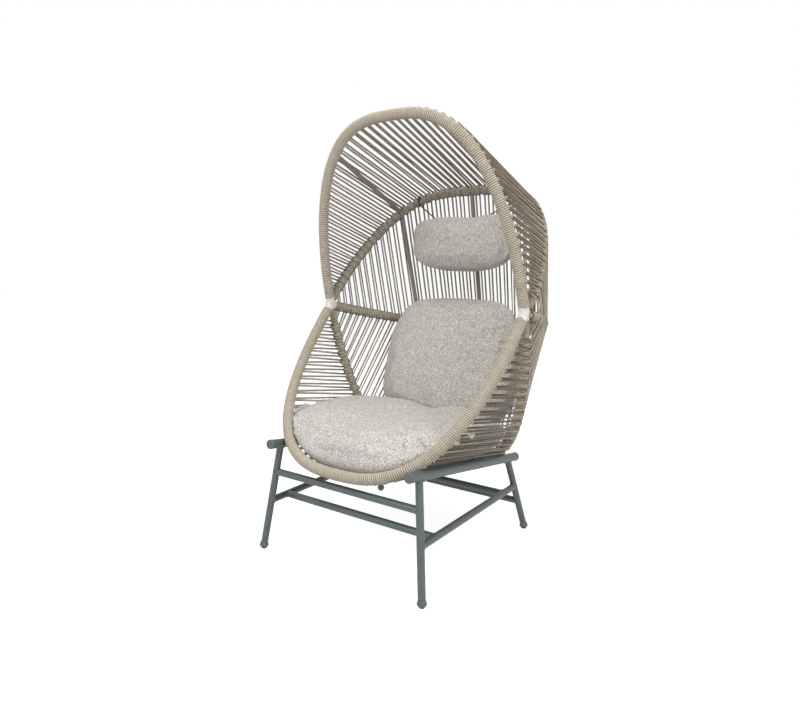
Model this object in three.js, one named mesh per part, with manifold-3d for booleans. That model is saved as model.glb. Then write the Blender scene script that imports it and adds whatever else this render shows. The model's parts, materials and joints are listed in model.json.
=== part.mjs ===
// Pod chair: a rope-strung shell of five bent hoops, carried between two rails on a four-legged stand,
// with loose seat and back cushions and a head cushion that swings on two cords.
// Millimetres, +Z up. The front faces -Y and +X is on the right, seen from the front.
import * as THREE from "three";
import { mergeVertices } from "three/addons/utils/BufferGeometryUtils.js";
import Module from "manifold-3d";

const wasm = await Module();
wasm.setup();

// Clearance between pieces that touch, and the overrun of a cut past the face that it opens
const clearance = 0.3;
const overrun = 4;

// Stand: tubes
const railDiameter = 33;
const legDiameter = 25;
const stretcherDiameter = 25;
const railLength = 705;
const railFrontHeight = 400;
const railFrontReach = 370;
const railSlopeDegrees = 9.1;

// Stand: feet on the floor, and the heights of the stretchers
const frontFootHalfSpan = 349;
const rearFootHalfSpan = 355;
const frontFootReach = 373;
const rearFootReach = 346;
const sideStretcherHeight = 181;
const frontStretcherHeight = 288;
const rearStretcherHeight = 119;
const frontCrossbarInset = 80;
const rearCrossbarInset = 95;
const frontLegTopShare = 0.074;
const rearLegTopShare = 0.909;

// Stand: foot collars, glides and rail end caps
const collarDiameter = 32;
const collarHeight = 15;
const collarLip = 3;
const glideHeight = 7;
const glideDiameter = 24;
const glideSoleDiameter = 17;
const glideStemDiameter = 12;
const glideStemHeight = 12;
const capThickness = 5;
const capRoundDepth = 2;
const capSpigotDiameter = 26;
const capSpigotLength = 14;

// Pod: the waist, where the ends of all the hoops meet, from the middle of the feet
const waistHalfWidth = 434;
const waistReach = 113;
const waistHeight = 863;
const hubDiameter = 40;
const hubWidth = 30;
const hubRound = 2;

// Pod: each hoop is half of a rounded oval in a plane through both waists
const upperRim = { halfWidth: 433, reach: 689, widthPower: 2.82, reachPower: 1.98, tiltDegrees: 104.1 };
const lowerRim = { halfWidth: 430, reach: 701, widthPower: 2.69, reachPower: 2.54, tiltDegrees: 227.4 };
const crownArch = { halfWidth: 448, reach: 613, widthPower: 3.3, reachPower: 1.78, tiltDegrees: 49.2 };
const backHoop = { halfWidth: 467, reach: 520, widthPower: 2.86, reachPower: 1.32, tiltDegrees: -13 };
const seatHoop = { halfWidth: 435, reach: 600, widthPower: 5.1, reachPower: 1.57, tiltDegrees: -76.9 };
const drawInPower = 6;
const rimTubeDiameter = 26;
const hoopTubeDiameter = 20;
const ribDiameter = 16;
const upperRimRibShare = 0.335;
const crownArchRibShare = 0.305;
const backHoopRibShare = 0.31;

// Pod: rope, wound along each hoop and strung between neighbouring hoops
const ropeDiameter = 6;
const wrapSetback = 42;
const strungMarginShare = 0.036;
const tiePairShare = 10 / 28;
const hoodPairs = 56;
const seatPairs = 52;
const backPairs = 42;
const pairSpacing = 7.4;
const outerCrestDegrees = 16;
const innerCrestDegrees = 75;

// How far a strand stands off the round that its winding's corners touch, so that it lies about a
// clearance from the winding's flats
const strandLifts = { hood: -0.1, back: 0, lowerBack: 0.05, seat: 0.3 };

// Bolts that hold the pod on the rails
const boltDiameter = 6;
const boltHeadDiameter = 10;
const boltHeadHeight = 4;
const boltBore = 7;

// Cushions: each is a flat oval before it is tilted, set in place and pressed into the pod
const seatCushion = {
  width: 830,
  depth: 590,
  thickness: 170,
  sideLift: 28,
  reach: -42,
  middleHeight: 406,
  tiltDegrees: 1.5,
  frontPlanPower: 2.5,
  rearPlanPower: 2.6,
  edgePower: 0.7,
  backShare: 0.5,
};
const backCushion = {
  width: 604,
  depth: 530,
  thickness: 195,
  sideLift: 12,
  reach: 345,
  middleHeight: 642,
  tiltDegrees: 72,
  frontPlanPower: 4.2,
  rearPlanPower: 2.6,
  edgePower: 0.75,
  backShare: 0.6,
};
const headCushion = {
  width: 470,
  depth: 228,
  thickness: 163,
  sideLift: 0,
  ribGap: 6.55,
  middleHeight: 1110,
  tiltDegrees: 86,
  frontPlanPower: 2.8,
  rearPlanPower: 4.4,
  edgePower: 0.8,
  backShare: 0.6665,
};

// How far inside the hoops' centre lines a pressed cushion stays: at a hoop, between two hoops, and
// how wide the change from one to the other is
const wrapStandoff = 21;
const strandStandoffs = { seat: -1.2, back: -15 };
const standoffWidth = 40;

// Head cushion cords
const tieDiameter = 4;
const tieSpreadShare = 0.545;

// How finely each kind of surface is cut into flats
const rodSides = 12;
const boltSides = 8;
const hoopSides = 8;
const hoopSteps = 20;
const roundSides = 12;
const ropeSides = 4;
const tieSides = 5;

const material = (color, roughness, metalness) =>
  new THREE.MeshStandardMaterial({ color, roughness, metalness });
const powderCoat = material(0x5a6668, 0.45, 0.3);
const paleCoat = material(0xc9c4ba, 0.5, 0.2);
const ropeFinish = material(0xb3a68c, 0.75, 0);
const darkRope = material(0x8d8271, 0.8, 0);
const tweed = material(0xbcb6ad, 0.95, 0);
const blackPlastic = material(0x1c1d1e, 0.6, 0);
const steel = material(0x9a9c9e, 0.35, 0.9);
const cordFinish = material(0x4a443e, 0.8, 0);

const chair = new THREE.Group();
const solids = new Map();

const vec = (x, y, z) => new THREE.Vector3(x, y, z);
const upright = vec(0, 0, 1);
const along = (from, to, share) => from.clone().lerp(to, share);
const mirrored = (point) => vec(-point.x, point.y, point.z);

// A closed solid from a geometry, with its faces turned outwards
function solidFrom(geometry) {
  const bare = geometry.clone();
  bare.deleteAttribute("normal");
  bare.deleteAttribute("uv");
  const merged = mergeVertices(bare);
  const corners = merged.index.array;
  const kept = [];
  for (let i = 0; i < corners.length; i += 3) {
    const [a, b, c] = [corners[i], corners[i + 1], corners[i + 2]];
    if (a !== b && b !== c && c !== a) kept.push(a, b, c);
  }
  const build = (triangles) =>
    new wasm.Manifold(
      new wasm.Mesh({
        numProp: 3,
        vertProperties: new Float32Array(merged.attributes.position.array),
        triVerts: new Uint32Array(triangles),
      }),
    );
  const solid = build(kept);
  if (solid.volume() > 0) return solid;
  for (let i = 0; i < kept.length; i += 3) [kept[i + 1], kept[i + 2]] = [kept[i + 2], kept[i + 1]];
  return build(kept);
}

function addPiece(name, solid, finish) {
  const mesh = solid.getMesh();
  const geometry = new THREE.BufferGeometry()
    .setAttribute("position", new THREE.BufferAttribute(mesh.vertProperties, 3))
    .setIndex(new THREE.BufferAttribute(mesh.triVerts, 1));
  geometry.computeVertexNormals();
  const piece = new THREE.Mesh(geometry, finish);
  piece.name = name;
  solids.set(name, solid);
  chair.add(piece);
  return solid;
}

const cutAll = (solid, cutters) => cutters.reduce((left, cutter) => left.subtract(cutter), solid);

// Turns a geometry that was made about +Z to lie along an axis, with its zero at a point
function placed(geometry, at, axis) {
  const turn = new THREE.Quaternion().setFromUnitVectors(upright, axis.clone().normalize());
  return geometry.applyQuaternion(turn).translate(at.x, at.y, at.z);
}

function rod(from, to, diameter, sides = rodSides) {
  const span = to.clone().sub(from);
  const radius = diameter / 2;
  const shape = new THREE.CylinderGeometry(radius, radius, span.length(), sides).rotateX(Math.PI / 2);
  return solidFrom(placed(shape, along(from, to, 0.5), span));
}

// A turned piece: its profile is a list of [diameter, height] pairs, and both ends are on the axis
function turned(profile, at, axis, sides = roundSides) {
  const points = profile.map(([diameter, height]) => new THREE.Vector2(diameter / 2, height));
  return solidFrom(placed(new THREE.LatheGeometry(points, sides).rotateX(Math.PI / 2), at, axis));
}

// Half of a rounded oval whose two ends are drawn in to the waists
class HoopCurve extends THREE.Curve {
  constructor(hoop) {
    super();
    this.hoop = hoop;
    this.arcLengthDivisions = 400;
  }
  getPoint(share, target = vec(0, 0, 0)) {
    const { halfWidth, reach, widthPower, reachPower, tiltDegrees } = this.hoop;
    const side = Math.cos(Math.PI * share);
    const depth = Math.max(Math.sin(Math.PI * share), 0);
    const swell = halfWidth * Math.abs(side) ** (2 / widthPower);
    const drawIn = (halfWidth - waistHalfWidth) * (1 - depth) ** drawInPower;
    const out = reach * depth ** (2 / reachPower);
    const lean = THREE.MathUtils.degToRad(tiltDegrees);
    return target.set(
      Math.sign(side) * -(swell - drawIn),
      waistReach + out * Math.cos(lean),
      waistHeight + out * Math.sin(lean),
    );
  }
}

// The stretch of a curve between two shares of its length
class Stretch extends THREE.Curve {
  constructor(curve, from, to) {
    super();
    Object.assign(this, { curve, from, to });
  }
  getPoint(share, target = vec(0, 0, 0)) {
    return this.curve.getPointAt(this.from + (this.to - this.from) * share, target);
  }
}

const roundOutline = (diameter, sides) => {
  const shape = new THREE.Shape();
  for (let i = 0; i < sides; i++) {
    const turn = (2 * Math.PI * i) / sides;
    const [x, y] = [(diameter / 2) * Math.cos(turn), (diameter / 2) * Math.sin(turn)];
    if (i === 0) shape.moveTo(x, y);
    else shape.lineTo(x, y);
  }
  shape.closePath();
  return shape;
};

function bentTube(curve, diameter, steps = hoopSteps) {
  const settings = { steps, extrudePath: curve, bevelEnabled: false };
  return solidFrom(new THREE.ExtrudeGeometry(roundOutline(diameter, hoopSides), settings));
}

// Rails: the pod lies between them, so they stand just clear of the rope on its two lowest hoops
const curves = {
  upperRim: new HoopCurve(upperRim),
  lowerRim: new HoopCurve(lowerRim),
  crownArch: new HoopCurve(crownArch),
  backHoop: new HoopCurve(backHoop),
  seatHoop: new HoopCurve(seatHoop),
};
const tubeDiameters = {
  upperRim: rimTubeDiameter,
  lowerRim: rimTubeDiameter,
  crownArch: hoopTubeDiameter,
  backHoop: hoopTubeDiameter,
  seatHoop: hoopTubeDiameter,
};
const wrapDiameter = (hoop) => tubeDiameters[hoop] + 2 * ropeDiameter;

const railSlope = THREE.MathUtils.degToRad(railSlopeDegrees);
const railEnds = (frontHalfSpan, rearHalfSpan) => {
  const front = vec(frontHalfSpan, -railFrontReach, railFrontHeight);
  const run = railLength * Math.cos(railSlope);
  return [front, vec(rearHalfSpan, run - railFrontReach, railFrontHeight - railLength * Math.sin(railSlope))];
};

// The nearest approach of a hoop's centre line to a rail's, on the +X side
const seatingSamples = 400;
function nearest(curve, [front, rear]) {
  const line = new THREE.Line3(front, rear);
  let best = { distance: Infinity };
  for (let i = 0; i <= seatingSamples; i++) {
    const point = curve.getPointAt(0.5 + i / (2 * seatingSamples));
    const foot = line.closestPointToPoint(point, true, vec(0, 0, 0));
    const distance = foot.distanceTo(point);
    if (distance < best.distance) best = { distance, point, foot };
  }
  return best;
}

const railSeat = (hoop) => (railDiameter + wrapDiameter(hoop)) / 2 + clearance;
let railSpans = [frontFootHalfSpan, rearFootHalfSpan];
const seatingRounds = 30;
for (let round = 0; round < seatingRounds; round++) {
  const ends = railEnds(...railSpans);
  const front = railSeat("lowerRim") - nearest(curves.lowerRim, ends).distance;
  const rear = railSeat("seatHoop") - nearest(curves.seatHoop, ends).distance;
  railSpans = [railSpans[0] + front, railSpans[1] + rear];
}
const [railFront, railRear] = railEnds(...railSpans);
const railAxis = railRear.clone().sub(railFront).normalize();
const rimSeat = nearest(curves.lowerRim, [railFront, railRear]);
const hoopSeat = nearest(curves.seatHoop, [railFront, railRear]);

// Legs run from the rails to the feet
const legLines = {
  front: {
    top: along(railFront, railRear, frontLegTopShare),
    foot: vec(frontFootHalfSpan, -frontFootReach, 0),
  },
  rear: {
    top: along(railFront, railRear, rearLegTopShare),
    foot: vec(rearFootHalfSpan, rearFootReach, 0),
  },
};
const onLeg = (leg, height) => along(leg.foot, leg.top, height / leg.top.z);
const sideFront = onLeg(legLines.front, sideStretcherHeight);
const sideRear = onLeg(legLines.rear, sideStretcherHeight);
const sideSpan = sideFront.distanceTo(sideRear);
const frontCrossbarEnd = along(sideFront, sideRear, frontCrossbarInset / sideSpan);
const rearCrossbarEnd = along(sideRear, sideFront, rearCrossbarInset / sideSpan);

const sides = { left: mirrored, right: (point) => point.clone() };
const grown = (diameter) => diameter + 2 * clearance;

// One of the four bolts: up through the rail, through the rope and into the hoop's tube
function boltLine(seat, place) {
  const foot = place(seat.foot);
  const aim = place(seat.point).sub(foot).normalize();
  return { foot, aim, tip: place(seat.point) };
}

const bolts = [];
for (const [side, place] of Object.entries(sides)) {
  bolts.push({ name: "bolt_front_" + side, side, hoop: "lowerRim", ...boltLine(rimSeat, place) });
  bolts.push({ name: "bolt_rear_" + side, side, hoop: "seatHoop", ...boltLine(hoopSeat, place) });
}
const boltBores = bolts.map(({ side, hoop, foot, aim, tip }) => ({
  side,
  hoop,
  cutter: rod(foot.clone().addScaledVector(aim, -railDiameter), tip, boltBore, boltSides),
}));
const boresFor = (test) => boltBores.filter(test).map((bore) => bore.cutter);

function addBolts() {
  for (const { name, foot, aim, tip } of bolts) {
    const under = foot.clone().addScaledVector(aim, -(railDiameter / 2 + clearance));
    const reach = under.distanceTo(tip) - clearance - overrun;
    const profile = [
      [0, -boltHeadHeight],
      [boltHeadDiameter, -boltHeadHeight],
      [boltHeadDiameter, 0],
      [boltDiameter, 0],
      [boltDiameter, reach],
      [0, reach],
    ];
    addPiece(name, turned(profile, under, aim, boltSides), steel);
  }
}

function addRails() {
  for (const [side, place] of Object.entries(sides)) {
    const [front, rear] = [place(railFront), place(railRear)];
    const axis = rear.clone().sub(front).normalize();
    const socket = (end, inward) => {
      const mouth = end.clone().addScaledVector(inward, -overrun);
      const floor = end.clone().addScaledVector(inward, capSpigotLength + clearance);
      return rod(mouth, floor, grown(capSpigotDiameter));
    };
    const sockets = [socket(front, axis), socket(rear, axis.clone().negate())];
    const bores = boresFor((bore) => bore.side === side);
    addPiece("rail_" + side, cutAll(rod(front, rear, railDiameter), [...sockets, ...bores]), powderCoat);
    addCap("rail_cap_front_" + side, front, axis.clone().negate());
    addCap("rail_cap_rear_" + side, rear, axis);
  }
}

// A cap's spigot goes into the rail's end, and its head is as wide as the rail
function addCap(name, end, outward) {
  const profile = [
    [0, -capSpigotLength],
    [capSpigotDiameter, -capSpigotLength],
    [capSpigotDiameter, clearance],
    [railDiameter, clearance],
    [railDiameter, capThickness - capRoundDepth],
    [railDiameter - 2 * capRoundDepth, capThickness],
    [0, capThickness],
  ];
  addPiece(name, turned(profile, end, outward, rodSides), powderCoat);
}

function addLegs() {
  const bottom = glideHeight + clearance;
  for (const [side, place] of Object.entries(sides)) {
    const rail = rod(place(railFront), place(railRear), grown(railDiameter));
    for (const [end, line] of Object.entries(legLines)) {
      const [top, foot] = [place(line.top), place(line.foot)];
      const shank = along(foot, top, (bottom + collarHeight / 2) / top.z);
      const collar = [
        [0, bottom],
        [collarDiameter - collarLip, bottom],
        [collarDiameter, bottom + collarLip],
        [collarDiameter, bottom + collarHeight - 2 * collarLip],
        [legDiameter, bottom + collarHeight],
        [0, bottom + collarHeight],
      ];
      const base = vec(shank.x, shank.y, 0);
      const stemHole = rod(
        vec(base.x, base.y, bottom - overrun),
        vec(base.x, base.y, glideHeight + glideStemHeight + clearance),
        grown(glideStemDiameter),
      );
      const leg = rod(shank, top, legDiameter).add(turned(collar, base, upright, roundSides));
      addPiece(`leg_${end}_${side}`, cutAll(leg, [rail, stemHole]), powderCoat);
      addGlide(`glide_${end}_${side}`, base);
    }
  }
}

// A glide's stem goes up into the foot collar, and its sole lies flat on the floor
function addGlide(name, base) {
  const profile = [
    [0, 0],
    [glideSoleDiameter, 0],
    [glideDiameter, glideHeight],
    [glideStemDiameter, glideHeight],
    [glideStemDiameter, glideHeight + glideStemHeight],
    [0, glideHeight + glideStemHeight],
  ];
  addPiece(name, turned(profile, base, upright, roundSides), blackPlastic);
}

function addStretchers() {
  const tube = (from, to, cutters) => cutAll(rod(from, to, stretcherDiameter), cutters);
  const legCutter = (line, place) => rod(place(line.foot), place(line.top), grown(legDiameter));
  const sideCutters = [];
  for (const [side, place] of Object.entries(sides)) {
    const [front, rear] = [place(sideFront), place(sideRear)];
    sideCutters.push(rod(front, rear, grown(stretcherDiameter)));
    const cutters = [legCutter(legLines.front, place), legCutter(legLines.rear, place)];
    addPiece("side_stretcher_" + side, tube(front, rear, cutters), powderCoat);
  }
  const across = (name, end, cutters) => addPiece(name, tube(mirrored(end), end, cutters), powderCoat);
  const bothLegs = (line) => Object.values(sides).map((place) => legCutter(line, place));
  across("front_stretcher", onLeg(legLines.front, frontStretcherHeight), bothLegs(legLines.front));
  across("rear_stretcher", onLeg(legLines.rear, rearStretcherHeight), bothLegs(legLines.rear));
  across("front_crossbar", frontCrossbarEnd, sideCutters);
  across("rear_crossbar", rearCrossbarEnd, sideCutters);
}

// Hubs: one at each waist, with the hoops' tubes welded round it
const waists = Object.values(sides).map((place) => place(vec(waistHalfWidth, waistReach, waistHeight)));
const hubProfile = (diameter, width) => [
  [0, -width / 2],
  [diameter - 2 * hubRound, -width / 2],
  [diameter, hubRound - width / 2],
  [diameter, width / 2 - hubRound],
  [diameter - 2 * hubRound, width / 2],
  [0, width / 2],
];
const sideways = vec(1, 0, 0);

function addHubs() {
  Object.keys(sides).forEach((side, i) => {
    addPiece("waist_hub_" + side, turned(hubProfile(hubDiameter, hubWidth), waists[i], sideways), paleCoat);
  });
}
const hubCutters = waists.map((waist) => {
  const reach = sideways.clone().multiplyScalar(hubWidth);
  return rod(waist.clone().sub(reach), waist.clone().add(reach), grown(hubDiameter), roundSides);
});

// Ribs: straight tubes between the hoops, two in the hood and three in the back
const ribHalfShares = {
  upperRim: upperRimRibShare,
  crownArch: crownArchRibShare,
  backHoop: backHoopRibShare,
};
const hoopPoint = (hoop, share) => curves[hoop].getPointAt(share);
const ribs = [
  { name: "hood_rib_left", ends: ["upperRim", "crownArch"], side: "left" },
  { name: "hood_rib_right", ends: ["upperRim", "crownArch"], side: "right" },
  { name: "back_rib_left", ends: ["crownArch", "backHoop"], side: "left" },
  { name: "back_rib_middle", ends: ["crownArch", "backHoop"], side: "middle" },
  { name: "back_rib_right", ends: ["crownArch", "backHoop"], side: "right" },
].map((rib) => {
  const [from, to] = rib.ends.map((hoop) => {
    const half = ribHalfShares[hoop];
    return hoopPoint(hoop, { left: half, middle: 0.5, right: 1 - half }[rib.side]);
  });
  return { ...rib, from, to };
});
const ribCutters = (hoop) =>
  ribs
    .filter((rib) => rib.ends.includes(hoop))
    .map((rib) => rod(rib.from, rib.to, grown(ribDiameter), hoopSides));

function addRibs() {
  for (const { name, ends, from, to } of ribs) {
    const cutters = ends.map((hoop) => bentTube(curves[hoop], grown(tubeDiameters[hoop])));
    addPiece(name, cutAll(rod(from, to, ribDiameter, hoopSides), cutters), paleCoat);
  }
}

// Hoops: each tube is coped to the hubs and to the tubes made before it
const hoopNames = {
  upperRim: "rim_upper",
  lowerRim: "rim_lower",
  crownArch: "crown_arch",
  seatHoop: "seat_hoop",
  backHoop: "back_hoop",
};

function addHoops() {
  const made = [];
  for (const [hoop, name] of Object.entries(hoopNames)) {
    const bores = boresFor((bore) => bore.hoop === hoop);
    const tube = bentTube(curves[hoop], tubeDiameters[hoop]);
    addPiece(name + "_tube", cutAll(tube, [...hubCutters, ...made, ...bores]), paleCoat);
    made.push(bentTube(curves[hoop], grown(tubeDiameters[hoop])));
  }
}

// The share of a hoop's length at a distance from the waist
function shareAt(curve, distance) {
  return distance / curve.getLength();
}

// Rope wound tightly round a hoop: a sleeve that the ribs and bolts pass through
function addWraps() {
  for (const [hoop, name] of Object.entries(hoopNames)) {
    const start = shareAt(curves[hoop], wrapSetback);
    const sleeve = bentTube(new Stretch(curves[hoop], start, 1 - start), wrapDiameter(hoop));
    const bore = bentTube(curves[hoop], grown(tubeDiameters[hoop]));
    const holes = [bore, ...ribCutters(hoop), ...boresFor((each) => each.hoop === hoop)];
    addPiece(name + "_wrap", cutAll(sleeve, holes), ropeFinish);
  }
}

// The place where a strand lies on a hoop's wrap, on the outside of the pod and turned a little
// towards the hoop that it runs to
const podMiddle = vec(0, waistReach, waistHeight);
function strandEnd({ crest: crestDegrees, lift }, hoop, share, otherHoop, otherShare) {
  const crest = THREE.MathUtils.degToRad(crestDegrees);
  const point = curves[hoop].getPointAt(share);
  const tangent = curves[hoop].getTangentAt(share);
  const towards = curves[otherHoop].getPointAt(otherShare).sub(point);
  const outward = tangent.clone().cross(towards).normalize();
  if (outward.dot(point.clone().sub(podMiddle)) < 0) outward.negate();
  const inPanel = towards.addScaledVector(tangent, -towards.dot(tangent)).normalize();
  const seat = (wrapDiameter(hoop) + ropeDiameter) / 2 + lift;
  return point
    .addScaledVector(outward, seat * Math.cos(crest))
    .addScaledVector(inPanel, seat * Math.sin(crest));
}

// The strands of a panel, from the left waist to the right one: each pair of strands meets at the
// first hoop and parts at the second, and a rope turns from one pair to the next there
function panelStrands(panel) {
  const { from, to, pairs, spacing } = panel;
  const span = 1 - 2 * strungMarginShare;
  const strands = [];
  for (let pair = 0; pair < pairs; pair++) {
    for (const half of [0, 1]) {
      const place = strungMarginShare + (span * (2 * pair + half + 0.5)) / (2 * pairs);
      const middle = strungMarginShare + (span * (pair + 0.5)) / pairs;
      const apart = ((half - 0.5) * spacing) / curves[from].getLength();
      const fromShare = spacing ? middle + apart : place;
      const ends = [
        strandEnd(panel, from, fromShare, to, place),
        strandEnd(panel, to, place, from, fromShare),
      ];
      strands.push(half ? ends : ends.reverse());
    }
  }
  return strands;
}

// One rope through a list of points, with mitred corners
function ropeThrough(points, diameter) {
  const steps = points.slice(1).map((point, i) => point.clone().sub(points[i]).normalize());
  const start = new THREE.Quaternion().setFromUnitVectors(upright, steps[0]);
  let offsets = [];
  for (let i = 0; i < ropeSides; i++) {
    const turn = (2 * Math.PI * (i + 0.5)) / ropeSides;
    const offset = vec(Math.cos(turn), Math.sin(turn), 0).multiplyScalar(diameter / 2);
    offsets.push(offset.applyQuaternion(start));
  }
  const corners = [];
  points.forEach((point, i) => {
    const before = steps[Math.max(i - 1, 0)];
    const after = steps[Math.min(i, steps.length - 1)];
    const mitre = before.clone().add(after).normalize();
    for (const offset of offsets) {
      const slide = -offset.dot(mitre) / before.dot(mitre);
      corners.push(point.clone().add(offset).addScaledVector(before, slide));
    }
    const turn = new THREE.Quaternion().setFromUnitVectors(before, after);
    offsets = offsets.map((offset) => offset.applyQuaternion(turn));
  });
  const faces = [];
  for (let ring = 0; ring < points.length - 1; ring++) {
    for (let i = 0; i < ropeSides; i++) {
      const [a, b] = [ring * ropeSides + i, ring * ropeSides + ((i + 1) % ropeSides)];
      faces.push(a, b, b + ropeSides, a, b + ropeSides, a + ropeSides);
    }
  }
  const last = (points.length - 1) * ropeSides;
  for (let i = 1; i < ropeSides - 1; i++) faces.push(0, i + 1, i, last, last + i, last + i + 1);
  const geometry = new THREE.BufferGeometry().setFromPoints(corners).setIndex(faces);
  return solidFrom(geometry);
}

// Each panel is strung as a row of sections, and a section is one unbroken rope
const panels = [
  {
    name: "hood_strands",
    strung: {
      from: "upperRim",
      to: "crownArch",
      pairs: hoodPairs,
      spacing: pairSpacing,
      crest: outerCrestDegrees,
      lift: strandLifts.hood,
    },
    breakShares: [tiePairShare, 0.5, 1 - tiePairShare],
    sections: ["side_left", "top_left", "top_right", "side_right"],
  },
  {
    name: "back_strands",
    strung: {
      from: "crownArch",
      to: "backHoop",
      pairs: backPairs,
      spacing: 0,
      crest: outerCrestDegrees,
      lift: strandLifts.back,
    },
    breakShares: [tiePairShare, 1 - tiePairShare],
    sections: ["left", "middle", "right"],
  },
  {
    name: "lower_back_strands",
    strung: {
      from: "backHoop",
      to: "seatHoop",
      pairs: backPairs,
      spacing: 0,
      crest: outerCrestDegrees,
      lift: strandLifts.lowerBack,
    },
    breakShares: [tiePairShare, 1 - tiePairShare],
    sections: ["left", "middle", "right"],
  },
  {
    name: "seat_strands",
    strung: {
      from: "lowerRim",
      to: "seatHoop",
      pairs: seatPairs,
      spacing: pairSpacing,
      crest: innerCrestDegrees,
      lift: strandLifts.seat,
    },
    breakShares: [tiePairShare, 1 - tiePairShare],
    sections: ["left", "middle", "right"],
  },
];
let leastStrandGap = Infinity;
function addPanels() {
  for (const { name, strung, breakShares, sections } of panels) {
    const strands = panelStrands(strung);
    const stops = [0, ...breakShares, 1].map((share) => Math.round(share * strung.pairs));
    sections.forEach((section, i) => {
      const own = strands.slice(2 * stops[i], 2 * stops[i + 1]);
      addPiece(`${name}_${section}`, ropeThrough(own.flat(), ropeDiameter), darkRope);
      for (let n = 1; n < own.length; n++) {
        const gap = own[n][0].distanceTo(own[n - 1][1]) - ropeDiameter;
        leastStrandGap = Math.min(leastStrandGap, gap);
      }
    });
  }
}

// The pod's shell between the centre lines of its hoops, as flat triangles
const shellSteps = 48;
const shell = [];
for (const { strung } of panels) {
  const [from, to] = [curves[strung.from], curves[strung.to]];
  const standoff = strung.from === "lowerRim" ? strandStandoffs.seat : strandStandoffs.back;
  for (let step = 0; step < shellSteps; step++) {
    const [here, next] = [step / shellSteps, (step + 1) / shellSteps];
    const [a, b] = [from.getPointAt(here), from.getPointAt(next)];
    const [c, d] = [to.getPointAt(here), to.getPointAt(next)];
    shell.push({ corners: [a, b, d], edges: [[a, b], [c, d]], standoff });
    shell.push({ corners: [a, d, c], edges: [[a, b], [c, d]], standoff });
  }
}

// Where a line from the middle of the pod passes through the shell, less the standoff there
function roomAlong(ray) {
  let room = Infinity;
  const hit = vec(0, 0, 0);
  for (const { corners, edges, standoff } of shell) {
    if (!ray.intersectTriangle(...corners, false, hit)) continue;
    const toHoop = edges.map(([start, end]) => {
      const foot = new THREE.Line3(start, end).closestPointToPoint(hit, true, vec(0, 0, 0));
      return foot.distanceTo(hit);
    });
    const nearHoop = Math.exp(-((Math.min(...toHoop) / standoffWidth) ** 2));
    const gap = standoff + (wrapStandoff - standoff) * nearHoop;
    const normal = new THREE.Triangle(...corners).getNormal(vec(0, 0, 0));
    room = Math.min(room, hit.distanceTo(ray.origin) - gap / Math.abs(normal.dot(ray.direction)));
  }
  return room;
}

// Moves every point of a cushion that would lie outside the pod back to the inside of its shell
function pressedIn(geometry) {
  const points = geometry.attributes.position;
  const [point, ray] = [vec(0, 0, 0), new THREE.Ray(podMiddle.clone(), vec(0, 0, 0))];
  for (let i = 0; i < points.count; i++) {
    point.fromBufferAttribute(points, i);
    ray.direction.copy(point).sub(podMiddle).normalize();
    const reach = Math.min(point.distanceTo(podMiddle), roomAlong(ray));
    point.copy(podMiddle).addScaledVector(ray.direction, reach);
    points.setXYZ(i, point.x, point.y, point.z);
  }
  return geometry;
}

// A stuffed cushion about the origin, with its face up: an oval plan, a rounded edge that draws in
// above and below its widest line, a crowned face and sides that lift towards their ends
const cushionSpokes = 32;
const cushionRings = 6;
function cushionGeometry(cushion) {
  const { width, depth, thickness, sideLift, edgePower, backShare } = cushion;
  const points = [];
  const ring = (turnUp, side) => {
    for (let spoke = 0; spoke < cushionSpokes; spoke++) {
      const turn = (2 * Math.PI * spoke) / cushionSpokes;
      const [c, s] = [Math.cos(turn), Math.sin(turn)];
      const out = Math.cos(turnUp) ** edgePower;
      const power = s < 0 ? cushion.frontPlanPower : cushion.rearPlanPower;
      const x = (width / 2) * out * Math.sign(c) * Math.abs(c) ** (2 / power);
      const y = (depth / 2) * out * Math.sign(s) * Math.abs(s) ** (2 / power);
      const height = thickness * (side > 0 ? 1 - backShare : backShare) * Math.sin(turnUp) ** edgePower;
      points.push(vec(x, y, side * height + sideLift * ((2 * x) / width) ** 2));
    }
  };
  const turnUpOf = (i) => (Math.PI / 2) * (1 - i / cushionRings);
  for (let i = 1; i <= cushionRings; i++) ring(turnUpOf(i), 1);
  for (let i = cushionRings - 1; i >= 1; i--) ring(turnUpOf(i), -1);
  const rings = 2 * cushionRings - 1;
  const faces = [];
  for (let r = 0; r < rings - 1; r++) {
    for (let i = 0; i < cushionSpokes; i++) {
      const [a, b] = [r * cushionSpokes + i, r * cushionSpokes + ((i + 1) % cushionSpokes)];
      faces.push(a, a + cushionSpokes, b, b, a + cushionSpokes, b + cushionSpokes);
    }
  }
  const top = points.push(vec(0, 0, thickness * (1 - backShare))) - 1;
  const bottom = points.push(vec(0, 0, -thickness * backShare)) - 1;
  const lastRing = (rings - 1) * cushionSpokes;
  for (let i = 0; i < cushionSpokes; i++) {
    const next = (i + 1) % cushionSpokes;
    faces.push(top, i, next, bottom, lastRing + next, lastRing + i);
  }
  return new THREE.BufferGeometry().setFromPoints(points).setIndex(faces);
}

function cushionInPlace(cushion) {
  return cushionGeometry(cushion)
    .rotateX(THREE.MathUtils.degToRad(cushion.tiltDegrees))
    .translate(0, cushion.reach, cushion.middleHeight);
}

// A cushion's solid with the clearance added all round
function swollen(solid) {
  const { min, max } = solid.boundingBox();
  const middle = min.map((low, i) => (low + max[i]) / 2);
  const growth = min.map((low, i) => (max[i] - low + 2 * clearance) / (max[i] - low));
  return solid
    .translate(middle.map((value) => -value))
    .scale(growth)
    .translate(middle);
}

// The seat cushion lies on the strands, and the back cushion rests on it and on the back
function addLooseCushions() {
  const seat = addPiece("seat_cushion", solidFrom(pressedIn(cushionInPlace(seatCushion))), tweed);
  const back = solidFrom(pressedIn(cushionInPlace(backCushion)));
  addPiece("back_cushion", back.subtract(swollen(seat)), tweed);
}

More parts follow.
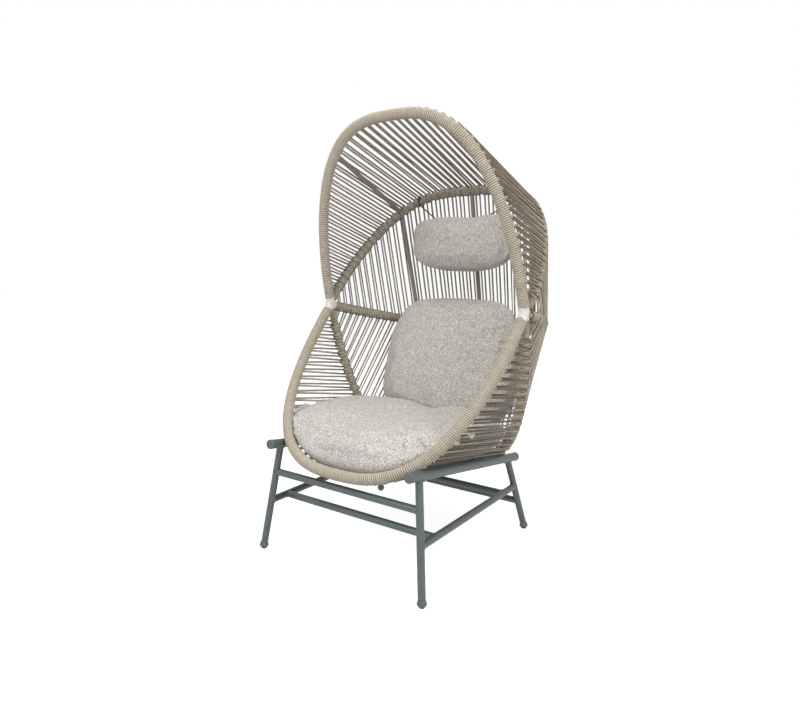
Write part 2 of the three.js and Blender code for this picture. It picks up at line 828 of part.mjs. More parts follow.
// Each cord is a loop that turns freely round the crown arch and a straight run down to the cushion
const headCushionAxis = vec(0, 0, 0);
const middleRib = ribs.find((rib) => rib.side === "middle");
const ribShare = (middleRib.from.z - headCushion.middleHeight) / (middleRib.from.z - middleRib.to.z);
const ribFace = along(middleRib.from, middleRib.to, ribShare).y - ribDiameter / 2;
const headReach = ribFace - headCushion.ribGap - headCushion.thickness * headCushion.backShare;
function addHeadCushion() {
  const hung = cushionInPlace({ ...headCushion, reach: headReach });
  const cushion = addPiece("head_cushion", solidFrom(hung), tweed);
  const slot = 1 - (strungMarginShare + tiePairShare * (1 - 2 * strungMarginShare));
  const slotReach = strandEnd(panels[0].strung, "crownArch", slot, "upperRim", slot).x;
  const arch = curves.crownArch;
  const aside = slotReach - arch.getPointAt(slot).x;
  const share = slot + aside / (arch.getTangentAt(slot).x * arch.getLength());
  const anchor = arch.getPointAt(share);
  const lean = arch.getTangentAt(share).angleTo(sideways);
  const slant = Math.min(lean, Math.PI - lean);
  const seat = wrapDiameter("crownArch") / Math.cos(slant) + tieDiameter * Math.tan(slant);
  const ringRadius = ((seat + tieDiameter) / 2 + clearance) / Math.cos(Math.PI / roundSides);
  const cushionTop = vec(
    (headCushion.width / 2) * tieSpreadShare,
    headReach,
    headCushion.middleHeight + headCushion.depth / 2 - overrun,
  );
  headCushionAxis.copy(anchor);
  for (const [side, place] of Object.entries(sides)) {
    const centre = place(anchor);
    const ring = new THREE.TorusGeometry(ringRadius, tieDiameter / 2, tieSides, roundSides)
      .rotateY(Math.PI / 2)
      .translate(centre.x, centre.y, centre.z);
    const target = place(cushionTop);
    const away = target.clone().sub(centre).setX(0).normalize();
    const run = rod(centre.clone().addScaledVector(away, ringRadius), target, tieDiameter, tieSides);
    const cord = run.subtract(swollen(cushion));
    addPiece("head_cushion_tie_" + side, solidFrom(ring).add(cord), cordFinish);
  }
}

addRails();
addLegs();
addStretchers();
addBolts();
addHubs();
addRibs();
addHoops();
addWraps();
addPanels();
addLooseCushions();
addHeadCushion();

// The origin is under the middle of the whole chair, on the floor
const box = new THREE.Box3().setFromObject(chair);
const middle = box.getCenter(vec(0, 0, 0));
chair.position.set(-middle.x, -middle.y, -box.min.z);

const part = new THREE.Group();
part.add(chair);
console.log("least gap between neighbouring strands: " + leastStrandGap.toFixed(2) + " mm");
headCushionAxis.add(chair.position);
const axisPlace = [headCushionAxis.y, headCushionAxis.z].map((value) => value.toFixed(2)).join(", ");
console.log("the head cushion swings about X through Y, Z: " + axisPlace + " mm");

export default part;
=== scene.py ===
# Pod chair: a rope-strung shell of five bent hoops between the rails of a four-legged stand, with
# loose seat and back cushions and a head cushion that swings on two cords. Metres, +Z up.
import json
import math

import bmesh
import bpy
from mathutils import Matrix, Vector, noise
from mathutils.bvhtree import BVHTree
from mathutils.kdtree import KDTree

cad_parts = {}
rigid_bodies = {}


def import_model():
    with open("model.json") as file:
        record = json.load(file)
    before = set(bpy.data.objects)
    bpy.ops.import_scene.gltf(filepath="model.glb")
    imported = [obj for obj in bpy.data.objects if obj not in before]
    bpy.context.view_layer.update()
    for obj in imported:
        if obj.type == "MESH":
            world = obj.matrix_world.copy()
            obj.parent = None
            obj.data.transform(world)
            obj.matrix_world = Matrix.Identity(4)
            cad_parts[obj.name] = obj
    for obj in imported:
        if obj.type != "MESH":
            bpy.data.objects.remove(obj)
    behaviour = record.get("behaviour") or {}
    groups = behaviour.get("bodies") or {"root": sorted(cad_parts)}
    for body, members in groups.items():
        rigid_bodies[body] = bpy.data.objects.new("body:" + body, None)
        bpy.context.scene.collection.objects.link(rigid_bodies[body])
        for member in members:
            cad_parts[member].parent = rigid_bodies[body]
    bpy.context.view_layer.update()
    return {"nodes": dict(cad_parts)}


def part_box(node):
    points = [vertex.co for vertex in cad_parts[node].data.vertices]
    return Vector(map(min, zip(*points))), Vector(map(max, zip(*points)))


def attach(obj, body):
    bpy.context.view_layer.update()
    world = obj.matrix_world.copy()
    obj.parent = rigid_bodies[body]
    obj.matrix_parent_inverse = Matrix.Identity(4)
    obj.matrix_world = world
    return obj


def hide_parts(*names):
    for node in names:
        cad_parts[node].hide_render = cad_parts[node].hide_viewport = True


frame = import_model()

MM = 0.001
X, Z = Vector((1, 0, 0)), Vector((0, 0, 1))

# Places are in millimetres from the middle of the feet, and SHIFT takes them to the part's frame
WAIST_X, WAIST_Y, WAIST_Z = 434, 113, 863
WAIST = Vector((WAIST_X, WAIST_Y, WAIST_Z)) * MM
hub_low, hub_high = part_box("waist_hub_right")
SHIFT = (hub_low + hub_high) / 2 - WAIST


def place(x, y, z):
    """A point given in millimetres from the middle of the feet."""
    return Vector((x, y, z)) * MM + SHIFT


def mirrored(point):
    """The same point on the other side of the chair."""
    return Vector((2 * SHIFT.x - point.x, point.y, point.z))


# Camera, fitted to the stand: its focal length was found in pixels of a picture 800 pixels wide
SENSOR, FOCAL_PIXELS, PICTURE_PIXELS = 36, 632.57, 800
CAMERA_PLACE = (1333.5, -1861.7, 1050)
LOOK_DOWN, LOOK_LEFT = 8.728, 35.616
camera = bpy.data.objects.new("camera", bpy.data.cameras.new("camera"))
bpy.context.scene.collection.objects.link(camera)
camera.data.sensor_width = SENSOR
camera.data.lens = SENSOR * FOCAL_PIXELS / PICTURE_PIXELS
camera.location = place(*CAMERA_PLACE)
camera.rotation_euler = (math.radians(90 - LOOK_DOWN), 0, math.radians(LOOK_LEFT))
bpy.context.scene.camera = camera


# Materials
LAY = 3.2  # a strand's full turn round its rope, in diameters of the rope
TWILL, THREAD = 7.5 * MM, 2.6 * MM


class Nodes:
    """Adds nodes to a tree and joins them."""

    def __init__(self, tree):
        self.tree = tree

    def __call__(self, kind, inputs=None, **settings):
        node = self.tree.nodes.new("ShaderNode" + kind)
        for key, value in settings.items():
            setattr(node, key, value)
        for key, value in (inputs or {}).items():
            self.feed(node.inputs[key], value)
        return node

    def feed(self, socket, value):
        if isinstance(value, bpy.types.NodeSocket):
            self.tree.links.new(value, socket)
        else:
            socket.default_value = value

    def math(self, operation, a, b=0.0, c=0.0):
        node = self("Math", {0: a, 1: b, 2: c}, operation=operation)
        return node.outputs[0]

    def mix(self, factor, a, b, blend="MIX"):
        node = self("Mix", {0: factor, 6: a, 7: b}, data_type="RGBA", blend_type=blend)
        return node.outputs[2]

    def ramp(self, value, *stops):
        node = self("ValToRGB", {0: value})
        ends = node.color_ramp.elements
        while len(ends) < len(stops):
            ends.new(0.5)
        for end, (at, level) in zip(ends, stops):
            end.position = at
            end.color = (level, level, level, 1)
        return node.outputs[0]

    def noise(self, where, scale, detail=2.0, roughness=0.5):
        values = {"Vector": where, "Scale": scale, "Detail": detail, "Roughness": roughness}
        return self("TexNoise", values).outputs[0]


def effect(name, inputs, outputs):
    """A group of nodes with named sockets: returns the group, its inputs, and a way to end it."""
    group = bpy.data.node_groups.new(name, "ShaderNodeTree")
    for key, (kind, value) in inputs.items():
        socket = group.interface.new_socket(key, in_out="INPUT", socket_type="NodeSocket" + kind)
        if value is not None:
            socket.default_value = value
    for key, kind in outputs.items():
        group.interface.new_socket(key, in_out="OUTPUT", socket_type="NodeSocket" + kind)
    start = group.nodes.new("NodeGroupInput")
    end = group.nodes.new("NodeGroupOutput")
    return group, Nodes(group), start.outputs, end


def linear(level):
    """The amount of light for a screen's level from 0 to 255."""
    return ((level / 255 + 0.055) / 1.055) ** 2.4 if level > 10 else level / 255 / 12.92


def rgb(red, green, blue):
    """A colour as measured on a screen, made linear."""
    return linear(red), linear(green), linear(blue), 1


def make_rope_lay():
    """Slanted strands along a rope, from its own map: metres along, and turns around."""
    group, nodes, given, end = effect(
        "rope lay",
        {"Diameter": ("Float", 0.005), "Strands": ("Float", 3.0), "Height": ("Float", 0.4)},
        {"Valley": "Float", "Tone": "Float", "Normal": "Vector"},
    )
    uv = nodes("UVMap", uv_map="UVMap").outputs[0]
    split = nodes("SeparateXYZ", {0: uv}).outputs
    laid = nodes.math("DIVIDE", split[0], nodes.math("MULTIPLY", given["Diameter"], LAY))
    turn = nodes.math("MULTIPLY", nodes.math("ADD", laid, split[1]), given["Strands"])
    wave = nodes.math("SINE", nodes.math("MULTIPLY", turn, 2 * math.pi))
    crown = nodes.math("ABSOLUTE", nodes.math("SINE", nodes.math("MULTIPLY", turn, math.pi)))
    fibre_place = nodes("CombineXYZ", {0: nodes.math("MULTIPLY", laid, 0.5), 1: turn, 2: split[1]})
    fibre = nodes.noise(fibre_place.outputs[0], 6.0, 3.0)
    slow = nodes.noise(nodes("CombineXYZ", {0: laid}).outputs[0], 0.6, 1.0)
    nodes.feed(end.inputs["Valley"], nodes.math("SUBTRACT", 1.0, crown))
    tone = nodes.math("ADD", nodes.math("MULTIPLY", fibre, 0.6), nodes.math("MULTIPLY", slow, 0.4))
    nodes.feed(end.inputs["Tone"], nodes.math("ADD", tone, nodes.math("MULTIPLY", wave, 0.06)))
    relief = nodes.math("ADD", nodes.math("MULTIPLY", crown, 0.8), nodes.math("MULTIPLY", fibre, 0.2))
    bump = nodes("Bump", {"Strength": given["Height"], "Distance": 0.6 * MM, "Height": relief})
    nodes.feed(end.inputs["Normal"], bump.outputs[0])
    return group


def make_grain():
    """The fine grain of a coat or a moulding, with faint wear and dust."""
    group, nodes, given, end = effect(
        "fine grain",
        {"Scale": ("Float", 900.0), "Height": ("Float", 0.1)},
        {"Grain": "Float", "Patches": "Float", "Normal": "Vector"},
    )
    where = nodes("TexCoord").outputs["Object"]
    grain = nodes.noise(where, given["Scale"], 2.0)
    nodes.feed(end.inputs["Grain"], grain)
    nodes.feed(end.inputs["Patches"], nodes.noise(where, 14.0, 4.0, 0.6))
    bump = nodes("Bump", {"Strength": given["Height"], "Distance": 0.4 * MM, "Height": grain})
    nodes.feed(end.inputs["Normal"], bump.outputs[0])
    return group


rope_lay = make_rope_lay()
fine_grain = make_grain()


def new_material(name, **plain):
    """A material with settings of its shader, where an underscore stands for a space."""
    material = bpy.data.materials.new(name)
    material.use_nodes = True
    nodes = Nodes(material.node_tree)
    shader = material.node_tree.nodes["Principled BSDF"]
    for key, value in plain.items():
        shader.inputs[key.replace("_", " ")].default_value = value
    return material, nodes, shader


def use_group(nodes, group, **values):
    """Adds a group of nodes with its inputs set, and returns its outputs."""
    node = nodes("Group", node_tree=group)
    for key, value in values.items():
        nodes.feed(node.inputs[key], value)
    return node.outputs


def rope_material(name, light, dark, diameter, wound=False):
    """Rope with painted shade in the grooves of its lay, and also between its turns if it is wound, and
    else along its edges as seen.
    """
    material, nodes, shader = new_material(name, Specular_IOR_Level=0.35)
    lay = use_group(nodes, rope_lay, Diameter=diameter, Strands=3.0, Height=0.5)
    toned = nodes.mix(nodes.ramp(lay["Tone"], (0.3, 0.0), (0.72, 1.0)), dark, light)
    # Painted shade: the grooves between the strands of the lay are darkened
    shaded = nodes.mix(nodes.ramp(lay["Valley"], (0.55, 0.0), (1.0, 0.75)), toned, dark, "MULTIPLY")
    # Painted shade: a wound rope is darkened down its flanks, between its turns, and any other rope along
    # its edges as seen
    if wound:
        crest = nodes("Attribute", attribute_name="crest").outputs["Fac"]
        shadow, shadow_colour = nodes.ramp(crest, (0.5, 0.9), (0.86, 0.0)), rgb(112, 98, 82)
    else:
        edge = nodes("LayerWeight", {"Blend": 0.5}).outputs["Facing"]
        shadow, shadow_colour = nodes.ramp(edge, (0.3, 0.0), (0.85, 0.95)), rgb(118, 106, 92)
    shaded = nodes.mix(shadow, shaded, shadow_colour, "MULTIPLY")
    nodes.feed(shader.inputs["Base Color"], shaded)
    nodes.feed(shader.inputs["Roughness"], nodes.ramp(lay["Tone"], (0.2, 0.72), (0.8, 0.55)))
    nodes.feed(shader.inputs["Normal"], lay["Normal"])
    return material


def coat_material(name, base, worn, roughness, scale=900.0, height=0.12, **plain):
    """A coat, plastic or metal with a fine grain and patches of wear."""
    material, nodes, shader = new_material(name, **plain)
    grain = use_group(nodes, fine_grain, Scale=scale, Height=height)
    toned = nodes.mix(nodes.ramp(grain["Patches"], (0.35, 0.0), (0.75, 0.5)), base, worn)
    speck = nodes.mix(nodes.ramp(grain["Grain"], (0.3, 0.25), (0.6, 0.0)), toned, worn)
    nodes.feed(shader.inputs["Base Color"], speck)
    spread = nodes.ramp(grain["Patches"], (0.3, roughness - 0.05), (0.7, roughness + 0.06))
    nodes.feed(shader.inputs["Roughness"], spread)
    nodes.feed(shader.inputs["Normal"], grain["Normal"])
    return material


def make_tweed():
    """Woven fabric of pale and dark yarns, on Object coordinates, in a diagonal twill."""
    material, nodes, shader = new_material("warm_grey_tweed", Roughness=0.9, Specular_IOR_Level=0.2)
    shader.inputs["Sheen Weight"].default_value = 0.25
    shader.inputs["Sheen Roughness"].default_value = 0.5
    where = nodes("TexCoord").outputs["Object"]
    wobble = nodes.noise(where, 60.0, 1.0)
    split = nodes("SeparateXYZ", {0: where}).outputs
    deep = nodes.math("MULTIPLY_ADD", split[1], 1.4, split[2])
    slant = nodes.math("ADD", nodes.math("ADD", split[0], deep), nodes.math("MULTIPLY", wobble, 7 * MM))
    twill = nodes.math("SINE", nodes.math("MULTIPLY", slant, 2 * math.pi / TWILL))
    threads = nodes("VectorMath", {0: where, 3: 1 / THREAD}, operation="SCALE").outputs[0]
    cells = nodes("VectorMath", {0: threads}, operation="FLOOR").outputs[0]
    fleck = nodes("TexWhiteNoise", {"Vector": cells}).outputs["Value"]
    slub = nodes.noise(where, 260.0, 1.0, 0.6)
    patch = nodes.noise(where, 24.0, 3.0, 0.6)
    hue = nodes.noise(where, 60.0, 2.0, 0.6)
    mottled = nodes.math("MULTIPLY_ADD", slub, 0.2, nodes.math("MULTIPLY_ADD", fleck, 0.46, 0.17))
    level = nodes.math("MULTIPLY_ADD", twill, 0.13, mottled)
    mask = nodes.ramp(level, (0.17, 0.0), (0.83, 1.0))
    yarn = nodes.mix(mask, rgb(119, 116, 110), rgb(250, 248, 243))
    warm = nodes.mix(nodes.ramp(hue, (0.4, 0.0), (0.62, 0.6)), yarn, rgb(250, 240, 236), "MULTIPLY")
    tint = nodes.mix(nodes.ramp(patch, (0.35, 0.0), (0.7, 0.14)), warm, rgb(218, 215, 211), "MULTIPLY")
    nodes.feed(shader.inputs["Base Color"], tint)
    bump = nodes("Bump", {"Strength": 0.3, "Distance": 0.8 * MM, "Height": level})
    nodes.feed(shader.inputs["Normal"], bump.outputs[0])
    return material


ROPE, RIM_ROPE, CORD = 6 * MM, 6.9 * MM, 4 * MM
rim_rope = rope_material("rim_rope", rgb(221, 212, 196), rgb(178, 168, 150), ROPE, True)
# The windings of the hoops inside the pod take a darker copy of the rim rope's colour, as painted shade
wound_rope = rope_material("wound_rope", rgb(216, 206, 190), rgb(152, 142, 126), ROPE, True)
net_rope = rope_material("net_rope", rgb(226, 216, 199), rgb(150, 140, 124), ROPE)
cord_rope = rope_material("head_cushion_cord", rgb(112, 104, 96), rgb(62, 57, 52), 3 * MM)
powder_coat = coat_material("grey_green_coat", rgb(85, 94, 93), rgb(104, 114, 112), 0.42, Metallic=0.25)
taupe_coat = coat_material("taupe_coat", rgb(146, 136, 126), rgb(166, 156, 146), 0.5)
pale_coat = coat_material("pale_waist_coat", rgb(226, 220, 213), rgb(238, 234, 229), 0.5)
black_plastic = coat_material("black_plastic", rgb(30, 31, 32), rgb(52, 53, 54), 0.6, 500.0, 0.2)
bare_steel = coat_material("bare_steel", rgb(150, 152, 154), rgb(120, 122, 124), 0.35, Metallic=0.9)
tweed = make_tweed()


# Making pieces
def piece(name, mesh, material, body="chair", nodes=(), smooth_below=35.0):
    """Puts a finished mesh into the scene as a piece that rides on a body."""
    mesh.materials.clear()
    mesh.materials.append(material)
    made = bpy.data.objects.new(name, mesh)
    bpy.context.scene.collection.objects.link(made)
    if smooth_below:
        mesh.shade_smooth()
        mesh.set_sharp_from_angle(angle=math.radians(smooth_below))
    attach(made, body)
    if nodes:
        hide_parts(*nodes)
    return made


def mesh_of(bm, name):
    """Ends the making of a mesh, with doubled points merged and its faces turned out."""
    bmesh.ops.remove_doubles(bm, verts=bm.verts, dist=1e-6)
    bmesh.ops.recalc_face_normals(bm, faces=bm.faces)
    mesh = bpy.data.meshes.new(name)
    bm.to_mesh(mesh)
    bm.free()
    return mesh


def along(start, end, share):
    """The point at a share of the way from start to end."""
    return start.lerp(end, share)


def add_bar(bm, start, end, diameter, segments=48):
    """A round bar between two points."""
    way = end - start
    turn = way.to_track_quat("Z", "Y").to_matrix().to_4x4()
    matrix = Matrix.Translation((start + end) / 2) @ turn
    sizes = {"radius1": diameter / 2, "radius2": diameter / 2, "depth": way.length}
    bmesh.ops.create_cone(bm, cap_ends=True, segments=segments, matrix=matrix, **sizes)


def add_turned(bm, profile, base, axis, steps=48):
    """Spins a profile of (radius, height) points about an axis through base."""
    turn = axis.to_track_quat("Z", "Y").to_matrix().to_4x4()
    matrix = Matrix.Translation(base) @ turn
    points = [bm.verts.new(matrix @ Vector((radius, 0, height))) for radius, height in profile]
    edges = [bm.edges.new(pair) for pair in zip(points, points[1:])]
    options = {"cent": base, "axis": axis, "angle": 2 * math.pi, "steps": steps, "use_merge": True}
    bmesh.ops.spin(bm, geom=points + edges, **options)


def rounded(profile, radius, steps=3):
    """The same profile with its inner corners rounded."""
    out = [profile[0]]
    for before, corner, after in zip(profile, profile[1:], profile[2:]):
        here = Vector(corner)
        ways = [Vector(other) - here for other in (before, after)]
        cut = min(radius, *(way.length * 0.45 for way in ways))
        ends = [here + way.normalized() * cut for way in ways]
        for step in range(steps + 1):
            share = step / steps
            leg = ends[0].lerp(here, share)
            out.append(tuple(leg.lerp(here.lerp(ends[1], share), share)))
    return [*out, profile[-1]]


def rope_mesh(name, runs, diameter, sides=6, closed=False):
    """Round rope through each run of points, with a map in metres along and turns around."""
    curve = bpy.data.curves.new(name, "CURVE")
    curve.dimensions = "3D"
    curve.bevel_depth = diameter / 2
    curve.bevel_resolution = (sides - 4) // 2
    curve.use_fill_caps = not closed
    for run in runs:
        spline = curve.splines.new("POLY")
        spline.points.add(len(run) - 1)
        spline.points.foreach_set("co", [value for point in run for value in (*point, 1)])
        spline.use_cyclic_u = closed
    holder = bpy.data.objects.new(name, curve)
    mesh = bpy.data.meshes.new_from_object(holder)
    bpy.data.objects.remove(holder)
    bpy.data.curves.remove(curve)
    length = max(sum((b - a).length for a, b in zip(run, run[1:])) for run in runs)
    layer = mesh.uv_layers[0].uv
    values = [0.0] * (2 * len(layer))
    layer.foreach_get("vector", values)
    values = [value * length if i % 2 == 0 else value for i, value in enumerate(values)]
    layer.foreach_set("vector", values)
    return mesh


def joined(name, meshes):
    """Several meshes as one."""
    bm = bmesh.new()
    for mesh in meshes:
        bm.from_mesh(mesh)
        bpy.data.meshes.remove(mesh)
    mesh = bpy.data.meshes.new(name)
    bm.to_mesh(mesh)
    bm.free()
    return mesh


# Stand: tubes and beads, the shares of a rail where the legs meet it, the heights of what joins the
# legs, the crossbars' distances from them, and the caps in the rails' ends
RAIL, LEG, WELD, BEAD_STEPS = 33 * MM, 25 * MM, 4.2 * MM, 40
FRONT_LEG, REAR_LEG = 0.074, 0.909
SIDE_HEIGHT, FRONT_HEIGHT, REAR_HEIGHT = 181, 288, 119
FRONT_CROSS_INSET, REAR_CROSS_INSET = 80, 95
SHANK_START = 12
CAP_DEPTH, CAP_SIDE, CAP_RISE = 8 * MM, 3.5 * MM, 5 * MM
CAP_LIP, CAP_CHAMFER, CAP_ROUND = 0.6 * MM, 3 * MM, 2.4 * MM
rail_front, rail_rear = place(298.446, -370, 400), place(314.72, 326.127, 288.499)
leg_lines = {
    "front": (along(rail_front, rail_rear, FRONT_LEG), place(349, -373, 0)),
    "rear": (along(rail_front, rail_rear, REAR_LEG), place(355, 346, 0)),
}


def on_leg(end, height):
    """The point at a height on the right-hand leg at the front or the rear."""
    top, foot = leg_lines[end]
    return along(foot, top, height * MM / top.z)


side_front, side_rear = on_leg("front", SIDE_HEIGHT), on_leg("rear", SIDE_HEIGHT)
side_way = (side_rear - side_front).normalized()
front_cross = side_front + side_way * FRONT_CROSS_INSET * MM
rear_cross = side_rear - side_way * REAR_CROSS_INSET * MM
sides = {"left": mirrored, "right": lambda point: point.copy()}


def weld_bead(start, way, diameter, other, other_way, other_diameter):
    """The bead where a tube that runs along way from start ends on another tube."""
    across = way.orthogonal().normalized()
    third = way.cross(across)
    ring = []
    for step in range(BEAD_STEPS):
        turn = 2 * math.pi * step / BEAD_STEPS
        point = start + (across * math.cos(turn) + third * math.sin(turn)) * diameter / 2
        offset = point - other
        flat = offset - other_way * offset.dot(other_way)
        flat_way = way - other_way * way.dot(other_way)
        a, b = flat_way.length_squared, flat.dot(flat_way)
        c = flat.length_squared - (other_diameter / 2) ** 2
        room = max(b * b - a * c, 0.0)
        ring.append(point + way * (-b - math.sqrt(room)) / a)
    return rope_mesh("bead", [ring], WELD, 8, closed=True)


def tube(name, start, end, diameter):
    """A stand tube whose ends run into the tubes that they meet."""
    bm = bmesh.new()
    add_bar(bm, start, end, diameter)
    return mesh_of(bm, name)


def stand_piece(name, bars, beads, nodes):
    """Tubes of the stand and their weld beads as one piece."""
    meshes = [tube(name, *bar) for bar in bars] + [weld_bead(*bead) for bead in beads]
    return piece(name, joined(name, meshes), powder_coat, nodes=nodes)


for side, at in sides.items():
    front, rear = at(rail_front), at(rail_rear)
    axis = (rear - front).normalized()
    stand_piece("rail_tube_" + side, [(front, rear, RAIL)], [], ["rail_" + side])
    for end, point, outward in (("front", front, -axis), ("rear", rear, axis)):
        bm = bmesh.new()
        rim = RAIL / 2 + CAP_LIP
        profile = [(0, -CAP_DEPTH), (rim, -CAP_DEPTH), (rim, CAP_SIDE)]
        profile += [(rim - CAP_CHAMFER, CAP_RISE), (0, CAP_RISE)]
        add_turned(bm, rounded(profile, CAP_ROUND, 4), point, outward)
        name = f"rail_end_{end}_{side}"
        piece(name, mesh_of(bm, name), powder_coat, nodes=[f"rail_cap_{end}_{side}"])
    for end, (top, foot) in leg_lines.items():
        top, foot = at(top), at(foot)
        way = (top - foot).normalized()
        shank = along(foot, top, SHANK_START * MM / top.z)
        bead = (shank, way, LEG, front, axis, RAIL)
        name = f"leg_tube_{end}_{side}"
        meshes = [tube(name, shank, top, LEG), weld_bead(*bead)]
        bm = bmesh.new()
        base = Vector((shank.x, shank.y, 0))
        collar = [
            (0, 7.3), (14.2, 7.3), (16, 10), (16, 14), (14.6, 17.5), (12.6, 23), (12.4, 26), (0, 26),
        ]
        add_turned(bm, rounded([(r * MM, h * MM) for r, h in collar], 1.6 * MM), base, Z)
        meshes.append(mesh_of(bm, name))
        piece(name, joined(name, meshes), powder_coat, nodes=[f"leg_{end}_{side}"])
        bm = bmesh.new()
        glide = [(0, 0), (8.4, 0), (9.4, 1.2), (12, 7), (0, 7.3)]
        add_turned(bm, rounded([(r * MM, h * MM) for r, h in glide], 1.0 * MM), base, Z)
        name = f"foot_glide_{end}_{side}"
        piece(name, mesh_of(bm, name), black_plastic, nodes=[f"glide_{end}_{side}"])
    start, stop = at(side_front), at(side_rear)
    way = (stop - start).normalized()
    legs = {
        end: (at(foot), (at(top) - at(foot)).normalized()) for end, (top, foot) in leg_lines.items()
    }
    middle = (start + stop) / 2
    beads = [(middle, way, LEG, *legs["rear"], LEG), (middle, -way, LEG, *legs["front"], LEG)]
    stand_piece("side_tube_" + side, [(start, stop, LEG)], beads, ["side_stretcher_" + side])

for name, point, mates in (
    ("front_stretcher", on_leg("front", FRONT_HEIGHT), "front"),
    ("rear_stretcher", on_leg("rear", REAR_HEIGHT), "rear"),
    ("front_crossbar", front_cross, None),
    ("rear_crossbar", rear_cross, None),
):
    beads = []
    for at, way in ((mirrored, -X), (sides["right"], X)):
        if mates:
            top, foot = leg_lines[mates]
            other, other_way = at(foot), (at(top) - at(foot)).normalized()
        else:
            other, other_way = at(side_front), (at(side_rear) - at(side_front)).normalized()
        beads.append((Vector((SHIFT.x, point.y, point.z)), way, LEG, other, other_way, LEG))
    stand_piece(name + "_tube", [(mirrored(point), point, LEG)], beads, [name])

for name, node in frame["nodes"].items():
    if name.startswith("bolt"):
        node.data.materials.clear()
        node.data.materials.append(bare_steel)


# Pod frame
DRAW_IN_POWER, CORE_STEPS, WAY_STEP = 6, 160, 0.002
HUB_HALF, RIM_COLLAR, COLLAR_END, RIB = 15, 35 * MM, 29 * MM, 18 * MM


class Hoop:
    """Half of a rounded oval in a plane through both waists, read by the share of its length."""

    samples = 1200

    def __init__(self, half_width, reach, width_power, reach_power, tilt, tube_size):
        self.tube = tube_size * MM
        lean = math.radians(tilt)
        self.across = X.cross(Vector((0, math.cos(lean), math.sin(lean))))
        self.points = []
        for i in range(self.samples + 1):
            c, s = math.cos(math.pi * i / self.samples), max(math.sin(math.pi * i / self.samples), 0)
            swell = half_width * abs(c) ** (2 / width_power)
            draw_in = (half_width - WAIST_X) * (1 - s) ** DRAW_IN_POWER
            out = reach * s ** (2 / reach_power)
            x = -math.copysign(swell - draw_in, c)
            y, z = WAIST_Y + out * math.cos(lean), WAIST_Z + out * math.sin(lean)
            self.points.append(place(x, y, z))
        self.lengths = [0.0]
        for a, b in zip(self.points, self.points[1:]):
            self.lengths.append(self.lengths[-1] + (b - a).length)
        self.length = self.lengths[-1]

    def at(self, share):
        """The point at a share of the hoop's length, from its left end."""
        target = min(max(share, 0), 1) * self.length
        low, high = 0, self.samples
        while high - low > 1:
            middle = (low + high) // 2
            low, high = (middle, high) if self.lengths[middle] <= target else (low, middle)
        step = self.lengths[high] - self.lengths[low]
        return self.points[low].lerp(self.points[high], (target - self.lengths[low]) / step)

    def way(self, share):
        """The direction of the hoop there."""
        return (self.at(share + WAY_STEP) - self.at(share - WAY_STEP)).normalized()


# For each hoop: half its width and its reach from the waists, the powers of its curve across and
# outwards, its tilt in degrees up from straight back, and its tube
hoops = {
    "rim_upper": Hoop(433, 689, 2.82, 1.98, 104.1, 26),
    "rim_lower": Hoop(430, 701, 2.69, 2.54, 227.4, 26),
    "crown_arch": Hoop(448, 613, 3.3, 1.78, 49.2, 20),
    "back_hoop": Hoop(467, 520, 2.86, 1.32, -13, 20),
    "seat_hoop": Hoop(435, 600, 5.1, 1.57, -76.9, 20),
}

# Painted shade: the cores wear the darker taupe coat so that they show dark between the winding's turns,
# though the rims' bare tube is pale
for name, hoop in hoops.items():
    run = [hoop.at(i / CORE_STEPS) for i in range(CORE_STEPS + 1)]
    mesh = rope_mesh(name, [run], hoop.tube, 16)
    piece(name + "_core", mesh, taupe_coat, nodes=[name + "_tube"])

for side, at in sides.items():
    bm = bmesh.new()
    centre = at(WAIST + SHIFT)
    half = [(18.5, HUB_HALF), (20, HUB_HALF - 1.5)]
    rear_half = [(radius, -height) for radius, height in half]
    profile = [(0, -HUB_HALF), *rear_half, *half[::-1], (0, HUB_HALF)]
    add_turned(bm, rounded([(r * MM, h * MM) for r, h in profile], 2.5 * MM, 4), centre, X)
    for rim in ("rim_upper", "rim_lower"):
        hoop = hoops[rim]
        near = COLLAR_END / hoop.length
        add_bar(bm, centre, hoop.at(near if side == "left" else 1 - near), RIM_COLLAR)
    name = "waist_knuckle_" + side
    piece(name, mesh_of(bm, name), pale_coat, nodes=["waist_hub_" + side])

rib_shares = {"rim_upper": 0.335, "crown_arch": 0.305, "back_hoop": 0.31}
for name, ends in (
    ("hood_rib", ("rim_upper", "crown_arch")),
    ("back_rib", ("crown_arch", "back_hoop")),
):
    for side in ("left", "middle", "right"):
        if name == "hood_rib" and side == "middle":
            continue
        start, stop = (
            hoops[hoop].at({"left": rib_shares[hoop], "middle": 0.5, "right": 1 - rib_shares[hoop]}[side])
            for hoop in ends
        )
        bm = bmesh.new()
        add_bar(bm, start, stop, RIB, 32)
        mesh = mesh_of(bm, name)
        piece(f"{name}_tube_{side}", mesh, taupe_coat, nodes=[f"{name}_{side}"])


# Rope: windings. The pitch is in rope widths, and the unevenness and the slip are in millimetres
TURN_STEPS = 12
WINDING_SETBACK, PITCH = 27 * MM, 1.05
UNEVEN, SLIP = 0.25, 0.9


